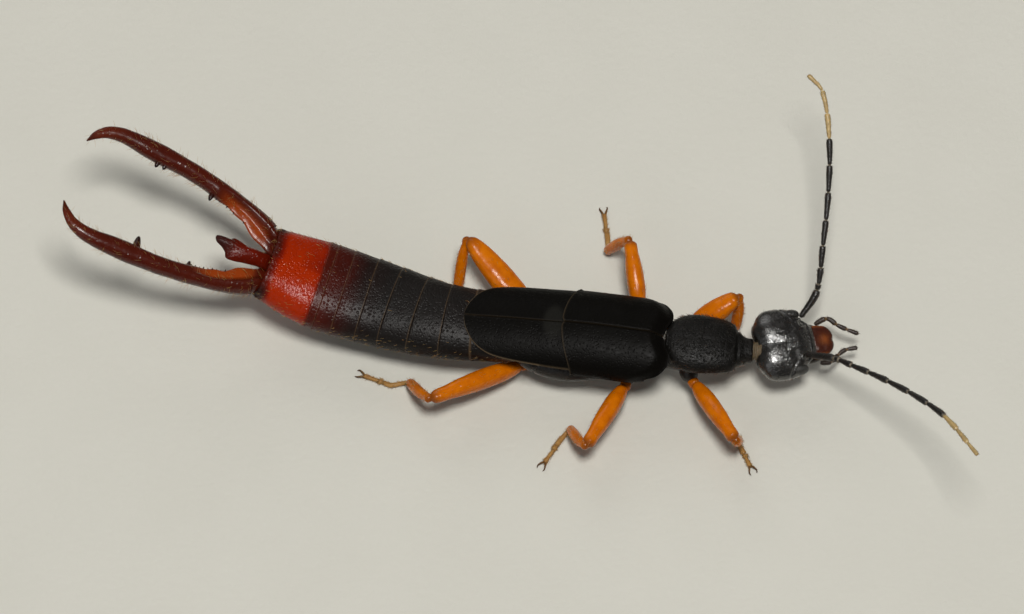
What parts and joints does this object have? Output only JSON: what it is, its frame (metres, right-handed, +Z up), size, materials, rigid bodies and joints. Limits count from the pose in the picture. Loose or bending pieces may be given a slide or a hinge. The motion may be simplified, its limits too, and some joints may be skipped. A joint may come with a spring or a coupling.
{
  "type": "earwig",
  "caption": "Still, life-size male earwig standing on its feet with its tail raised, curved forceps open behind, short leathery wing cases and long beaded feelers.",
  "frame": {"origin": "floor level, below the middle of the whole animal's box", "axes": "+X towards the head, +Y to the animal's left, +Z up; the feet stand on the plane z = 0"},
  "size_m": [0.0254, 0.012, 0.0049],
  "materials": {
    "cuticle_black": "satin black horn-like cuticle, finely wrinkled",
    "wing_black": "leathery black wing case with fine pits",
    "dark_red": "very dark red glossy cuticle",
    "orange_red": "glossy orange-red cuticle with fine pits",
    "forceps_red": "glossy dark blood-red horn",
    "leg_orange": "glossy orange-brown leg cuticle",
    "leg_pale": "golden-brown foot cuticle, hairy",
    "labrum_red": "red-brown upper lip with an orange middle",
    "antenna_black": "black feeler segments with pale joints",
    "antenna_pale": "pale yellow feeler segments",
    "palp_brown": "dark brown mouthparts",
    "membrane": "pale brown soft membrane",
    "eye_black": "dark grey compound eye"
  },
  "bodies": {
    "root": {"last_tergite": "orange_red", "abdomen_rear": "dark_red", "abdomen_front": "cuticle_black", "elytron_left": "wing_black", "wing_scale_left": "wing_black", "elytron_right": "wing_black", "wing_scale_right": "wing_black", "thorax": "cuticle_black", "prothorax": "cuticle_black", "pronotum": "cuticle_black", "neck": "membrane", "head": "cuticle_black", "eye_left": "eye_black", "eye_right": "eye_black", "labrum": "labrum_red", "mandibles": "palp_brown", "antenna_scape_left": "antenna_black", "antenna_flagellum_left": "antenna_black", "antenna_tip_left": "antenna_pale", "antenna_scape_right": "antenna_black", "antenna_flagellum_right": "antenna_black", "antenna_tip_right": "antenna_pale", "palp_left": "palp_brown", "palp_right": "palp_brown", "forceps_left": "forceps_red", "forceps_right": "forceps_red", "pygidium": "dark_red", "coxa_front_right": "cuticle_black", "femur_front_right": "leg_orange", "tibia_front_right": "leg_orange", "tarsus_front_right": "leg_pale", "coxa_front_left": "cuticle_black", "femur_front_left": "leg_orange", "tibia_front_left": "leg_orange", "tarsus_front_left": "leg_pale", "coxa_mid_right": "cuticle_black", "femur_mid_right": "leg_orange", "tibia_mid_right": "leg_orange", "tarsus_mid_right": "leg_pale", "coxa_mid_left": "cuticle_black", "femur_mid_left": "leg_orange", "tibia_mid_left": "leg_orange", "tarsus_mid_left": "leg_pale", "coxa_hind_right": "cuticle_black", "femur_hind_right": "leg_orange", "tibia_hind_right": "leg_orange", "tarsus_hind_right": "leg_pale", "coxa_hind_left": "cuticle_black", "femur_hind_left": "leg_orange", "tibia_hind_left": "leg_orange", "tarsus_hind_left": "leg_pale"}
  },
  "joints": []
}
